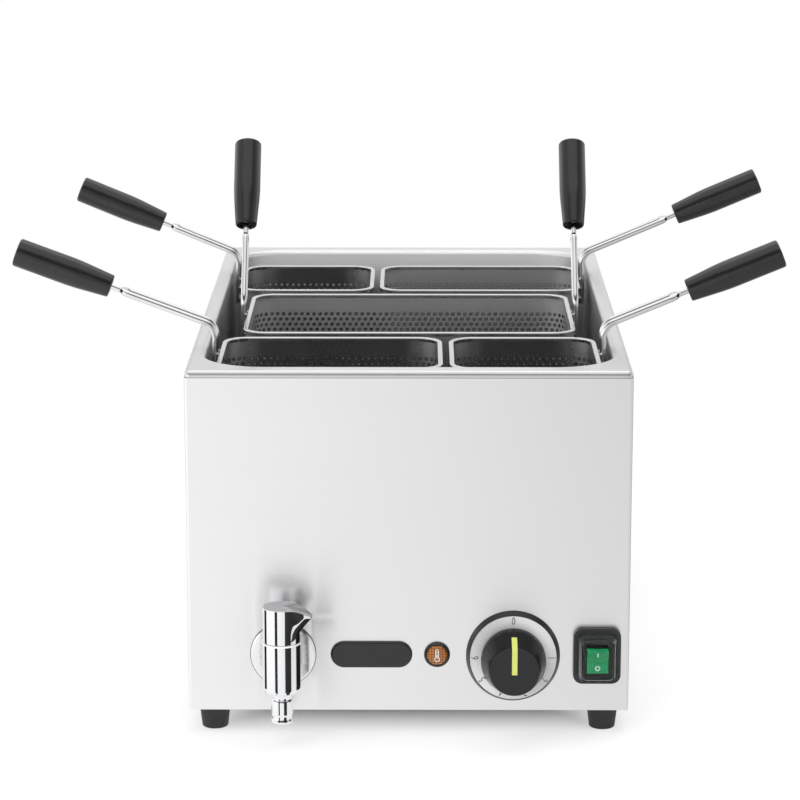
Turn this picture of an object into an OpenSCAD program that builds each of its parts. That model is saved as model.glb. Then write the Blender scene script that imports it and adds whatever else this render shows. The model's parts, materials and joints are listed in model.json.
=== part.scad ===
// Table-top electric pasta cooker: a folded steel casing round one deep tank, five perforated
// baskets on hairpin handles, a drain tap, and the controls along the foot of the front panel.
// Millimetres, +Z up, table top at z = 0, front towards -Y. The origin lies under the middle of
// the whole footprint, from the tip of the tap to the end of the cable gland.

/* [Casing] */
// Width of the casing
body_w = 340; // [330:1:380]
// Depth of the casing
body_d = 540; // [530:1:600]
// Height from the casing's bottom edge to the tank floor
plinth_h = 73; // [72:1:100]
// Height of the feet
foot_h = 20; // [15:1:30]
// Widest diameter of a foot
foot_d = 25; // [20:0.5:30]
// Diameter of a foot where it stands
foot_tip_d = 20; // [16:0.5:24]
// Distance of the foot centres from the casing's sides
foot_in_x = 19; // [17:0.5:24]
// Distance of the foot centres from the casing's front and back
foot_in_y = 22; // [18:0.5:26]
// Thickness of the casing sheet
sheet = 1; // [0.8:0.1:1.5]
// Outer radius of the front panel's bent corners
corner_r = 2.5; // [2:0.1:4]
// Depth of the front panel's side returns
panel_return = 14; // [10:1:20]
// Width of the inward flanges along the casing's bottom
base_flange = 30; // [28:1:36]
// Width of the inward flanges behind the rear panel
rear_flange = 14; // [12:1:20]
// Thickness of the base plate
base_sheet = 1.2; // [1:0.1:2]
// Length of a ventilation slot
vent_l = 40; // [20:1:60]
// Width of a ventilation slot
vent_w = 4; // [3:0.5:6]
// Distance between ventilation slots
vent_pitch = 12; // [9:1:16]

/* [Deck and tank] */
// Depth of the tank below the deck
tank_depth = 195; // [170:1:230]
// Thickness of the tank and deck sheet
tank_sheet = 1.2; // [1:0.1:1.5]
// Width of the deck along the sides
rim_side = 12; // [10:0.5:16]
// Width of the deck along the front and back
rim_end = 19; // [16:0.5:25]
// Corner radius of the tank opening
opening_r = 48; // [30:1:60]
// Radius of the rounded lip between deck and tank
lip_r = 4; // [2:0.5:5]
// Radius between the tank walls and floor
floor_r = 9; // [8:1:25]
// Radius of the deck's bent-down border
border_r = 4; // [2:0.5:5]
// Straight edge below the deck's bent border
border_skirt = 1; // [0.5:0.5:5]
// Seam between deck border and casing
deck_seam = 0.3; // [0.1:0.1:0.6]

/* [Baskets] */
// Width of the two narrow baskets
basket_narrow = 118; // [100:1:135]
// Depth of the four small baskets
small_basket_d = 120; // [100:1:124]
// Depth of the long basket
long_basket_d = 168; // [140:1:175]
// Gap between the tank's side walls and the small baskets
side_gap = 8.5; // [7:0.5:14]
// Gap between the tank's side walls and the long basket
long_side_gap = 22; // [10:1:40]
// Gap between the tank's front wall and the front baskets
front_gap = 24; // [10:1:30]
// Gap between the rows of baskets
row_gap = 16; // [8:1:18]
// Gap between two baskets in a row
basket_gap = 5; // [2:0.5:10]
// Height of the deck above the basket rims
rim_drop = 7; // [3:1:15]
// Corner radius of the baskets
basket_r = 20; // [12:1:30]
// Thickness of the basket sheet
basket_sheet = 0.8; // [0.6:0.1:1.2]
// Width of the hemmed basket rim
rim_w = 4; // [3.4:0.2:6]
// Height of the hemmed basket rim
rim_h = 3.2; // [2.4:0.2:5]
// Plain strip below the basket rim
plain_band = 12; // [8:1:30]
// Height of the basket bottom above the lower edge of its wall
skirt_h = 4; // [2:0.5:10]
// Diameter of the perforations
hole_d = 7; // [4:0.5:9]
// Distance between perforations
hole_pitch = 16; // [13:1:24]

/* [Handles] */
// Diameter of the handle rods
rod_d = 5; // [3:0.5:5.5]
// Distance between the two rods of a hairpin
rod_gap = 12; // [10:1:20]
// Length of the rod legs below the top of the rim
leg_l = 22; // [16:1:40]
// Height of the rod bend above the rim
bend_rise = 22; // [16:1:30]
// Radius of the rod bends
bend_r = 14; // [8:1:18]
// Slope of the handle on the wide front basket
tilt_front = 20.5; // [10:0.5:40]
// Slope of the handle on the wide back basket
tilt_back = 23; // [10:0.5:40]
// Slope of the handles on the narrow baskets
tilt_narrow = 22.5; // [10:0.5:40]
// Rod length from bend to grip on the wide front basket
run_front = 87; // [60:1:110]
// Rod length from bend to grip on the narrow baskets
run_narrow = 72; // [50:1:100]
// Height of the rod bend above the rim on the long basket
long_rise = 12; // [8:1:20]
// Backward lean of the handles on the long basket
long_lean = 36; // [6:1:38]
// Rod length from bend to grip on the long basket
run_long = 68; // [50:1:72]
// Length of a grip
grip_l = 78.5; // [60:0.5:100]
// Diameter of a grip at its outer end
grip_d = 22.5; // [18:0.5:26]
// Diameter of a grip at the rods
grip_neck_d = 18; // [14:0.5:20]
// Length of the grip's taper
grip_taper_l = 34; // [20:1:45]
// Length of the bare tang between hairpin and grip
neck_l = 7; // [4:0.5:12]
// Diameter of the tang that carries a grip
tang_d = 4.4; // [3.6:0.2:7]
// Length of the tang inside a grip
tang_l = 32; // [20:1:50]

/* [Tap] */
// Sideways place of the tap
tap_x = -96.5; // [-110:0.5:-80]
// Height of tap, badge, lamp and switch above the casing's bottom edge
control_up = 45; // [44:0.5:46]
// Distance of the tap's axis from the front panel
tap_out = 28; // [24:0.5:40]
// Diameter of tap body and handle
tap_d = 29; // [26:0.5:34]
// Depth of the tap body below its inlet
tap_below = 21; // [18:0.5:24]
// Height of the tap body above its inlet
tap_above = 19; // [16:0.5:24]
// Height of the tap handle
tap_handle_h = 27.5; // [22:0.5:32]
// Reach of the tap handle's beak from the axis
beak_l = 27; // [20:0.5:32]
// Direction of the beak, to the right and forwards
beak_turn = -35; // [-60:1:0]
// Radius of the beak's tip
beak_tip_r = 2.5; // [1.5:0.5:4]
// Length of the hose nozzle
nozzle_l = 24; // [20:0.5:28]
// Diameter of the hose nozzle
nozzle_d = 16.6; // [15:0.2:20]
// Bore of the nozzle
nozzle_bore = 9; // [6:0.5:11]
// Diameter of the flange on the front panel
tap_flange_d = 50; // [40:1:60]
// Thickness of that flange
tap_flange_t = 3; // [2:0.5:5]
// Diameter of the drain pipe
pipe_d = 21; // [18:0.5:22]
// Bore of the drain pipe
pipe_bore = 15; // [10:0.5:16]
// Distance of the tank's drain from the front panel
drain_back = 58; // [52:1:90]
// Diameter of the turning plug in the tap
plug_d = 20; // [17:0.5:22]

/* [Controls] */
// Sideways place of the badge plate
badge_x = -28.5; // [-34:0.5:-24]
// Length of the badge plate
badge_l = 63; // [50:1:66]
// Height of the badge plate
badge_h = 21; // [16:0.5:24]
// Thickness of the badge plate
badge_t = 2.4; // [1.5:0.1:4]
// Sideways place of the pilot lamp
lamp_x = 22; // [19:0.5:25]
// Diameter of the lamp's bezel
lamp_d = 20; // [16:0.5:22]
// Diameter of the lamp's lens
lens_d = 15.5; // [12:0.5:15.5]
// Diameter of the lamp's body
lamp_body_d = 12; // [8:0.5:13]
// Length of the lamp's body
lamp_body_l = 26; // [18:1:40]
// Sideways place of the thermostat dial
dial_x = 80.5; // [78:0.5:82]
// Drop of the dial's centre below the other controls
dial_drop = 1; // [0:0.5:3]
// Diameter of the dial ring
dial_d = 72.6; // [64:0.2:74]
// Height of the dial ring
dial_t = 6; // [4:0.5:8]
// Width of the dial ring's slanted rim
dial_rim = 2.5; // [1.5:0.1:4]
// Widest diameter of the knob
knob_d = 50; // [42:0.5:54]
// Diameter of the knob's front edge
knob_edge_d = 40; // [34:0.5:42]
// Diameter of the knob's flat face
knob_face_d = 37; // [30:0.5:38]
// Height of the knob
knob_h = 35; // [28:0.5:40]
// Height of the knob's skirt
knob_skirt_h = 11; // [6:0.5:14]
// Width of the knob's pointer
pointer_w = 4.4; // [3:0.2:6]
// Diameter of the thermostat's shaft
shaft_d = 6; // [4:0.5:8]
// Width and height of the thermostat's housing
thermostat_w = 46; // [36:1:48]
// Depth of the thermostat's housing
thermostat_t = 30; // [20:1:40]
// Sideways place of the switch
switch_x = 145; // [140:0.5:146]
// Width of the switch flange
switch_w = 36.5; // [30:0.5:37]
// Height of the switch flange
switch_h = 44; // [38:0.5:46]
// Thickness of the switch flange
switch_t = 5; // [3:0.5:7]
// Width of the splash dome's face
dome_w = 25; // [24.5:0.5:28]
// Height of the splash dome's face
dome_h = 32; // [27:0.5:34]
// Distance of the splash dome's face from the front panel
dome_out = 20; // [19.5:0.5:24]
// Width of the rocker
rocker_w = 16.4; // [12:0.2:17]
// Height of the rocker
rocker_h = 19.2; // [15:0.2:20]
// Tilt of the rocker either side of its middle
rocker_tilt = 10; // [6:1:10]

/* [Inside] */
// Diameter of the heating element
element_d = 8.5; // [6:0.5:10]
// Distance between the element's runs
element_pitch = 56; // [44:1:64]
// Length of the element's runs
element_l = 300; // [200:5:320]
// Diameter of the thermostat's bulb
bulb_d = 6; // [4:0.5:8]
// Length of the thermostat's bulb
bulb_l = 70; // [40:1:75]
// Distance of cable gland and terminal block from the casing's right side
gland_in = 65; // [55:1:80]
// Bore of the cable gland
gland_bore = 10; // [7:0.5:11]
// Diameter of the gland's thread
gland_thread_d = 16; // [14:0.5:20]
// Distance across the gland's flats
gland_af = 22; // [21:1:26]
// Length of the gland outside the casing
gland_l = 22; // [18:1:30]
// Diameter of the casing screws
screw_d = 3.5; // [3:0.5:5]

/* [Clearances] */
// Gap between pieces that only lie beside each other
fit = 0.1; // [0.05:0.05:0.2]
// Gap between moving pieces
running_gap = 0.3; // [0.3:0.1:0.6]
// Radial gap of a shaft in its bearing
bearing_gap = 0.05; // [0.02:0.01:0.1]

/* [Hidden] */
$fn = 48;

// The footprint runs from the tip of the tap to the end of the gland, centred on the origin
beak_reach_y = -sin(beak_turn) * beak_l + beak_tip_r;
front_reach = tap_out + max(tap_d / 2, beak_reach_y);
front_y = front_reach - (front_reach + body_d + gland_l) / 2;
back_y = front_y + body_d;
mid_y = (front_y + back_y) / 2;

// Heights
floor_z = foot_h + plinth_h;
deck_z = floor_z + tank_depth;
border_drop = border_r + border_skirt;
casing_top = deck_z - border_drop - deck_seam;
tank_under = floor_z - tank_sheet;
base_top = foot_h + sheet + base_sheet;
control_z = foot_h + control_up;
dial_z = control_z - dial_drop;

// Tank opening
opening_w = body_w - 2 * rim_side;
opening_d = body_d - 2 * rim_end;
border_corner_r = border_r + 1;
drain_y = front_y + drain_back;

// Baskets: the two end rows share the tank's width, one wide and one narrow basket each
row_w = opening_w - 2 * side_gap;
basket_wide = row_w - basket_gap - basket_narrow;
basket_long = opening_w - 2 * long_side_gap;
rim_z = deck_z - rim_drop;
wall_in = (rim_w - basket_sheet) / 2;
wall_r = basket_r - wall_in;
hole_row = hole_pitch * sqrt(3) / 2;
front_row_y = front_y + rim_end + front_gap + small_basket_d / 2;
long_row_y = front_row_y + small_basket_d / 2 + row_gap + long_basket_d / 2;
back_row_y = long_row_y + long_basket_d / 2 + row_gap + small_basket_d / 2;
wide_x = (row_w - basket_wide) / 2;
narrow_x = (row_w - basket_narrow) / 2;

// A basket stands on the tank's floor, or on the floor's round edge where that is nearer than its
// radius to the basket's wall
function floor_rise(gap) = gap < floor_r ? floor_r - sqrt(floor_r ^ 2 - (floor_r - gap) ^ 2) : 0;
corner_in = [for (gap = [side_gap, front_gap]) max(opening_r - gap - basket_r, 0)];
corner_gap = opening_r - basket_r - norm(corner_in);
small_gap = wall_in + min(side_gap, front_gap, corner_gap);
small_stand = floor_z + floor_rise(small_gap) + running_gap;
long_stand = floor_z + floor_rise(wall_in + long_side_gap) + running_gap;

// Handles
leg_out = rod_d / 2 + fit;
weld_d = rod_d + 1;
bend_step = 0.05;
bend_lap = 0.4;
grip_end_r = 2;
grip_mouth_d = tang_d + 7;
grip_mouth_t = 3;
// The two wide baskets' grips reach equally far out, so the plan stays even about the middle
grip_drop = (grip_d / 2 - grip_end_r) * (sin(tilt_front) - sin(tilt_back));
grip_reach = (run_front + grip_l - grip_end_r) * cos(tilt_front) + grip_drop;
run_back = grip_reach / cos(tilt_back) - grip_l + grip_end_r;

// Screws
screw_head_d = 2 * screw_d;
screw_head_t = 2.2;
screw_l = 8;
screw_hole = screw_d + 0.4;
rear_screw_x = body_w / 2 - sheet - rear_flange / 2;
rear_screw_z = [for (t = [0.08, 0.5, 0.92]) foot_h + t * (casing_top - foot_h)];
base_screw_x = body_w / 2 - base_flange + 10;
base_screw_y = [for (t = [-0.25, 0, 0.25]) mid_y + t * body_d];
foot_x = body_w / 2 - foot_in_x;
foot_y = [front_y + foot_in_y, back_y - foot_in_y];
foot_screw_d = 5;
foot_screw_head_d = 9;
foot_screw_head_t = 3.5;
foot_recess = 8;

// Tap
tap_y = front_y - tap_out;
tap_base_z = control_z - tap_below;
tap_top_z = control_z + tap_above;
handle_z = tap_top_z + running_gap;
handle_top = handle_z + tap_handle_h;
stem_d = 10;
stem_l = 15;
plug_foot_z = tap_base_z + 7;
pipe_bend_r = 20;

// Controls
panel_back = -sheet;
knob_base = dial_t + 1;
knob_top = knob_base + knob_h;
skirt_top = knob_base + knob_skirt_h;
knob_edge = knob_top - 4;
shaft_tip = knob_base + 0.65 * knob_h;
bush_d = shaft_d + 4;
bush_l = 3;
lamp_bezel_t = 3;
switch_body_w = dome_w - 3;
switch_body_h = dome_h + 2;
switch_body_t = 26;
collar_t = 1.5;
collar_top = switch_t + 5;
rocker_pivot = switch_t + 2;
trunnion_d = 3;
rocker_gap = 0.4;

// Under the tank
element_z = tank_under - element_d / 2 - fit;
element_y = mid_y + 45 - element_l / 2;
element_bend_r = 15;
element_tail = 26;
bar_w = 20;
bar_t = 3;
bar_z = element_z - element_d / 2 - fit;
stud_d = 6;
nut_af = 10;
nut_t = 5;
bulb_z = tank_under - bulb_d / 2 - fit;
bulb_y = front_y + 64;
clip_t = 1;
limiter_x = 22;
limiter_y = front_y + 100;
gland_x = body_w / 2 - gland_in;
gland_z = control_z;

// Shared shapes

function unit(v) = v / norm(v);

// Children with their X and Y axes along x and y, standing at o
module placed(o, x, y) {
    z = cross(x, y);
    multmatrix([[x[0], y[0], z[0], o[0]], [x[1], y[1], z[1], o[1]], [x[2], y[2], z[2], o[2]], [0, 0, 0, 1]])
        children();
}

// Children with their Z axis along dir, standing at o
module along(o, dir) {
    x = unit(cross(dir, abs(dir[2]) < 0.9 ? [0, 0, 1] : [1, 0, 0]));
    placed(o, x, cross(dir, x)) children();
}

// Round bar through a list of points, bent at the middle ones. The straight lengths lap into
// bends that are a hair thicker.
module rod(pts, d, r) {
    n = len(pts);
    dirs = [for (i = [0 : n - 2]) unit(pts[i + 1] - pts[i])];
    turns = [for (i = [1 : 1 : n - 2]) acos(dirs[i - 1] * dirs[i])];
    trims = [for (i = [0 : n - 1]) i == 0 || i == n - 1 ? 0 : r * tan(turns[i - 1] / 2) - bend_lap];
    for (i = [0 : n - 2])
        along(pts[i] + trims[i] * dirs[i], dirs[i])
            cylinder(d = d, h = norm(pts[i + 1] - pts[i]) - trims[i] - trims[i + 1]);
    for (i = [1 : 1 : n - 2]) {
        inward = unit(dirs[i] - dirs[i - 1] * (dirs[i - 1] * dirs[i]));
        placed(pts[i] - (trims[i] + bend_lap) * dirs[i - 1] + r * inward, -inward, dirs[i - 1])
            rotate_extrude(angle = turns[i - 1]) translate([r, 0]) circle(d = d + 2 * bend_step);
    }
}

// Rectangle with round corners, centred
module round_rect(w, d, r) {
    square([w - 2 * r, d], center = true);
    square([w, d - 2 * r], center = true);
    for (x = [-1, 1], y = [-1, 1]) translate([x * (w / 2 - r), y * (d / 2 - r)]) circle(r = r);
}

// Quarter of a ring in the quadrant of the signs sx, sy
module quarter_ring(r_in, r_out, sx, sy) {
    intersection() {
        difference() {
            circle(r = r_out);
            circle(r = r_in);
        }
        translate([sx < 0 ? -r_out : 0, sy < 0 ? -r_out : 0]) square(r_out);
    }
}

// A profile led round a rectangle with corner radius r. The profile's X is the distance from the
// corner's axis and its Y is the height.
module sweep_round(w, d, r) {
    for (s = [0, 1]) {
        translate([(1 - 2 * s) * (w / 2 - r), 0, 0]) rotate([0, 0, 180 * s])
            rotate([90, 0, 0]) linear_extrude(d - 2 * r, center = true) children();
        translate([0, (1 - 2 * s) * (d / 2 - r), 0]) rotate([0, 0, 90 + 180 * s])
            rotate([90, 0, 0]) linear_extrude(w - 2 * r, center = true) children();
    }
    for (i = [0 : 3])
        translate([(i == 0 || i == 3 ? 1 : -1) * (w / 2 - r), (i < 2 ? 1 : -1) * (d / 2 - r), 0])
            rotate([0, 0, 90 * i]) rotate_extrude(angle = 90) children();
}

// Children on the front panel: local Z points out of the panel, local Y points up
module on_front(x, z) translate([x, front_y, z]) rotate([90, 0, 0]) children();

// Children on the rear panel: local Z points out of the panel
module on_rear(x, z) translate([x, back_y, z]) rotate([-90, 0, 0]) children();

// Row of slots, centred
module vent_slots(count) {
    for (i = [0 : count - 1]) translate([(i - (count - 1) / 2) * vent_pitch, 0])
        round_rect(vent_w, vent_l, vent_w / 2 - 0.01);
}

// Pan-head screw standing on its seat at z = 0, with its shank below
module pan_screw() {
    rotate_extrude() polygon([
        [0, -screw_l], [screw_d / 2, -screw_l], [screw_d / 2, 0], [screw_head_d / 2, 0],
        [screw_head_d / 2, screw_head_t / 2], [screw_head_d / 3, screw_head_t], [0, screw_head_t]
    ]);
}

module at_feet() for (x = [-foot_x, foot_x], y = foot_y) translate([x, y, 0]) children();
module at_base_screws()
    for (x = [-base_screw_x, base_screw_x], y = base_screw_y) translate([x, y, foot_h]) children();
module at_rear_screws() for (x = [-rear_screw_x, rear_screw_x], z = rear_screw_z) on_rear(x, z) children();

// Casing

module front_panel() {
    inner_r = max(corner_r - sheet, 0.2);
    color("lightgray") difference() {
        union() {
            translate([0, front_y, foot_h]) linear_extrude(casing_top - foot_h) difference() {
                intersection() {
                    translate([0, body_d / 2]) round_rect(body_w, body_d, corner_r);
                    translate([-body_w / 2, 0]) square([body_w, panel_return]);
                }
                translate([0, body_d / 2]) round_rect(body_w - 2 * sheet, body_d - 2 * sheet, inner_r);
            }
            translate([-body_w / 2 + corner_r, front_y + sheet / 2, foot_h])
                cube([body_w - 2 * corner_r, base_flange - sheet / 2, sheet]);
        }
        at_feet() cylinder(d = foot_screw_d + 0.4, h = 2 * foot_h);
        on_front(tap_x, control_z) cylinder(d = pipe_d + 2 * fit, h = 4 * sheet, center = true);
        on_front(dial_x, dial_z) cylinder(d = bush_d + 2 * fit, h = 4 * sheet, center = true);
        on_front(lamp_x, control_z) cylinder(d = lamp_body_d + 2 * fit, h = 4 * sheet, center = true);
        on_front(switch_x, control_z)
            cube([switch_body_w + 2 * fit, switch_body_h + 2 * fit, 4 * sheet], center = true);
    }
}

// Right-hand side panel: wall, bottom flange and rear flange
module side_panel() {
    y0 = front_y + panel_return + fit;
    flange_y = front_y + base_flange + fit;
    rear_in = back_y - 2 * sheet;
    difference() {
        union() {
            translate([body_w / 2 - sheet, y0, foot_h]) cube([sheet, back_y - y0, casing_top - foot_h]);
            translate([body_w / 2 - base_flange, flange_y, foot_h])
                cube([base_flange - sheet / 2, rear_in - flange_y, sheet]);
            translate([body_w / 2 - sheet - rear_flange, rear_in, base_top + fit])
                cube([rear_flange + sheet / 2, sheet, casing_top - base_top - fit]);
        }
        at_feet() cylinder(d = foot_screw_d + 0.4, h = 2 * foot_h);
        at_base_screws() cylinder(d = screw_hole, h = 4 * sheet, center = true);
        at_rear_screws() cylinder(d = screw_hole, h = 8 * sheet, center = true);
    }
}

module side_panels() {
    color("lightgray") {
        side_panel();
        mirror([1, 0, 0]) side_panel();
    }
}

module rear_panel() {
    w = body_w - 2 * sheet - 2 * fit;
    h = casing_top - foot_h;
    color("silver") difference() {
        translate([0, back_y, foot_h + h / 2]) rotate([90, 0, 0]) linear_extrude(sheet) difference() {
            square([w, h], center = true);
            for (x = [-1, 1]) translate([x * w / 5, h / 4]) vent_slots(7);
        }
        at_rear_screws() cylinder(d = screw_hole, h = 8 * sheet, center = true);
        on_rear(gland_x, gland_z) cylinder(d = gland_thread_d + 2 * fit, h = 4 * sheet, center = true);
    }
}

module base_plate() {
    w = body_w - 2 * sheet - 2 * fit;
    d = body_d - 2 * sheet - 2 * fit;
    color("silver") difference() {
        translate([0, mid_y, foot_h + sheet]) linear_extrude(base_sheet) difference() {
            round_rect(w, d, corner_r);
            for (y = [-1, 1]) translate([0, y * d / 6]) vent_slots(13);
        }
        at_feet() cylinder(d = foot_screw_d + 0.4, h = 2 * foot_h);
        at_base_screws() cylinder(d = screw_hole, h = 8 * sheet, center = true);
    }
}

module casing_screws() {
    color("gray") {
        at_rear_screws() translate([0, 0, fit]) pan_screw();
        at_base_screws() translate([0, 0, -fit]) rotate([180, 0, 0]) pan_screw();
    }
}

module feet() {
    color("black") at_feet() difference() {
        cylinder(d1 = foot_tip_d, d2 = foot_d, h = foot_h);
        cylinder(d = foot_screw_d + 0.4, h = 3 * foot_h, center = true);
        translate([0, 0, -1]) cylinder(d = foot_screw_head_d + 1, h = foot_recess + 1);
    }
}

module foot_screws() {
    color("gray") at_feet() {
        translate([0, 0, foot_recess - foot_screw_head_t])
            cylinder(d = foot_screw_head_d, h = foot_screw_head_t);
        translate([0, 0, foot_recess - 1]) cylinder(d = foot_screw_d, h = base_top + 6 - foot_recess);
    }
}

// Deck and tank in one welded shell: bent border, flat deck, rounded lip, walls and floor
module tank() {
    color("gainsboro") translate([0, mid_y, 0]) difference() {
        union() {
            sweep_round(opening_w, opening_d, opening_r) union() {
                translate([opening_r, floor_z + floor_r]) square([tank_sheet, tank_depth - lip_r - floor_r]);
                translate([opening_r - floor_r, floor_z + floor_r])
                    quarter_ring(floor_r, floor_r + tank_sheet, 1, -1);
                translate([opening_r + lip_r, deck_z - lip_r]) quarter_ring(lip_r - tank_sheet, lip_r, -1, 1);
            }
            translate([0, 0, tank_under]) linear_extrude(tank_sheet)
                round_rect(opening_w - 2 * floor_r, opening_d - 2 * floor_r, opening_r - floor_r);
            translate([0, 0, deck_z - tank_sheet]) linear_extrude(tank_sheet) difference() {
                round_rect(body_w - 2 * border_r, body_d - 2 * border_r, border_corner_r - border_r);
                round_rect(opening_w + 2 * lip_r, opening_d + 2 * lip_r, opening_r + lip_r);
            }
            sweep_round(body_w, body_d, border_corner_r) union() {
                translate([border_corner_r - border_r, deck_z - border_r])
                    quarter_ring(border_r - tank_sheet, border_r, 1, 1);
                translate([border_corner_r - tank_sheet, deck_z - border_drop])
                    square([tank_sheet, border_skirt]);
            }
        }
        translate([tap_x, drain_y - mid_y, tank_under - 1]) cylinder(d = pipe_bore, h = tank_sheet + 2);
    }
}

// Heating under the tank

module heating_element() {
    y1 = element_y + element_l;
    runs = [-1.5, -0.5, 0.5, 1.5] * element_pitch;
    tail_z = element_z - element_tail;
    y_in = element_y + 2 * element_bend_r;
    color("dimgray") rod([
        [runs[0], element_y, tail_z], [runs[0], element_y, element_z], [runs[0], y1, element_z],
        [runs[1], y1, element_z], [runs[1], y_in, element_z], [runs[2], y_in, element_z],
        [runs[2], y1, element_z], [runs[3], y1, element_z], [runs[3], element_y, element_z],
        [runs[3], element_y, tail_z]
    ], element_d, element_bend_r);
}

module at_bars() for (t = [0.3, 0.55, 0.8]) translate([0, element_y + t * element_l, 0]) children();
module at_studs() for (x = [-1, 1]) translate([x * element_pitch, 0, 0]) children();

module heater_bars() {
    color("silver") at_bars() difference() {
        translate([-2 * element_pitch, -bar_w / 2, bar_z - bar_t]) cube([4 * element_pitch, bar_w, bar_t]);
        at_studs() translate([0, 0, bar_z - 2 * bar_t]) cylinder(d = stud_d + 2 * fit, h = 3 * bar_t);
    }
}

module heater_studs() {
    nut_z = bar_z - bar_t - nut_t;
    color("goldenrod") at_bars() at_studs() {
        translate([0, 0, nut_z - 2]) cylinder(d = stud_d, h = tank_under - nut_z + 2);
        translate([0, 0, nut_z]) cylinder(d = nut_af / cos(30), h = nut_t, $fn = 6);
    }
}

// Snap-disc temperature limiter screwed under the tank floor
module safety_limiter() {
    color("darkslategray") translate([limiter_x, limiter_y, tank_under]) {
        translate([0, 0, -2]) linear_extrude(2) round_rect(32, 14, 6.9);
        translate([0, 0, -12]) cylinder(d = 16, h = 11);
        for (x = [-4, 4]) translate([x - 0.4, -3, -19]) cube([0.8, 6, 9]);
    }
}

module thermostat_bulb() {
    start = [dial_x, front_y + sheet + thermostat_t + fit, dial_z];
    color("peru") union() {
        rod([start, start + [0, 12, 0], [dial_x, bulb_y - 6, bulb_z], [dial_x, bulb_y + 2, bulb_z]], 2, 6);
        translate([dial_x, bulb_y, bulb_z]) rotate([-90, 0, 0]) cylinder(d = bulb_d, h = bulb_l);
    }
}

// Saddle that holds the bulb against the tank floor
module bulb_clip() {
    saddle_r = bulb_d / 2 + fit + clip_t;
    color("silver") translate([dial_x, bulb_y + bulb_l / 2, 0]) rotate([90, 0, 0])
        linear_extrude(12, center = true) difference() {
            union() {
                translate([0, bulb_z]) circle(r = saddle_r);
                translate([-saddle_r, bulb_z]) square([2 * saddle_r, tank_under - bulb_z]);
                translate([-saddle_r - 8, tank_under - clip_t]) square([2 * saddle_r + 16, clip_t]);
            }
            translate([0, bulb_z]) circle(r = saddle_r - clip_t);
            translate([-saddle_r + clip_t, bulb_z]) square([2 * (saddle_r - clip_t), bulb_d]);
        }
}

// Drain and tap

// Elbow from the tank's drain to the tap, with its bore
module drain_pipe() {
    top = [tap_x, drain_y, tank_under];
    turn = [tap_x, drain_y, control_z];
    tip = [tap_x, tap_y + tap_d / 2 - 3, control_z];
    color("silver") difference() {
        rod([top, turn, tip], pipe_d, pipe_bend_r);
        rod([top + [0, 0, 1], turn, tip - [0, 1, 0]], pipe_bore, pipe_bend_r);
        translate([tap_x, tap_y, tap_base_z]) cylinder(d = tap_d + 2 * fit, h = tap_below + tap_above);
    }
}

module tap_flange() {
    r = tap_flange_d / 2;
    hole_r = pipe_d / 2 + fit;
    color("silver") on_front(tap_x, control_z) rotate_extrude() polygon([
        [hole_r, fit], [r, fit], [r, tap_flange_t / 3], [r - 1.5, tap_flange_t * 2 / 3],
        [hole_r + 3, tap_flange_t], [hole_r, tap_flange_t]
    ]);
}

module tap_body() {
    color("silver") difference() {
        translate([tap_x, tap_y, 0]) rotate_extrude() polygon([
            [0, tap_base_z], [tap_d / 2 - 3, tap_base_z], [tap_d / 2 - 0.8, tap_base_z + 1.2],
            [tap_d / 2, tap_base_z + 4], [tap_d / 2, tap_top_z], [0, tap_top_z]
        ]);
        translate([tap_x, tap_y, plug_foot_z - fit]) cylinder(d = plug_d + 2 * bearing_gap, h = tap_top_z);
        translate([tap_x, tap_y, tap_base_z - 1]) cylinder(d = nozzle_bore, h = plug_foot_z);
        translate([tap_x, tap_y, control_z]) rotate([-90, 0, 0]) cylinder(d = pipe_bore, h = tap_d);
    }
}

// Hose nozzle: neck, ring, barrel, groove and flared lip
module tap_nozzle() {
    r = nozzle_d / 2;
    color("silver") translate([tap_x, tap_y, tap_base_z - fit]) rotate_extrude() polygon([
        [nozzle_bore / 2, 0], [r + 0.8, 0], [r - 0.9, -3.2], [r - 1.2, -5.2], [r - 0.6, -5.8],
        [r, -7], [r, -nozzle_l + 7], [r - 0.8, -nozzle_l + 6], [r - 0.8, -nozzle_l + 3.6],
        [r + 0.2, -nozzle_l + 1.6], [r - 0.6, -nozzle_l], [nozzle_bore / 2, -nozzle_l]
    ]);
}

// Plan of the beak: the handle's circle drawn out to a small round tip
module beak_plan() {
    r = tap_d / 2;
    a = acos((r - beak_tip_r) / beak_l);
    circle(r = r);
    translate([beak_l, 0]) circle(r = beak_tip_r);
    polygon([
        [r * cos(a), r * sin(a)], [r * cos(a), -r * sin(a)],
        [beak_l + beak_tip_r * cos(a), -beak_tip_r * sin(a)],
        [beak_l + beak_tip_r * cos(a), beak_tip_r * sin(a)]
    ]);
}

module tap_handle() {
    r = tap_d / 2;
    tip = beak_l + beak_tip_r;
    color("silver") translate([tap_x, tap_y, 0]) difference() {
        union() {
            translate([0, 0, handle_z]) cylinder(r = r, h = tap_handle_h);
            rotate([0, 0, beak_turn]) intersection() {
                translate([0, 0, handle_z]) linear_extrude(tap_handle_h) beak_plan();
                rotate([90, 0, 0]) linear_extrude(2 * tap_d, center = true) polygon([
                    [0, handle_top], [r / 2, handle_top], [tip + 1, handle_top - 6],
                    [tip + 1, handle_top - 9.5], [r - 1, handle_top - 18], [0, handle_top - 18]
                ]);
            }
        }
        translate([0, 0, handle_z - 1]) cylinder(d = stem_d + 2 * bearing_gap, h = stem_l + 1 + fit);
    }
}

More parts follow.
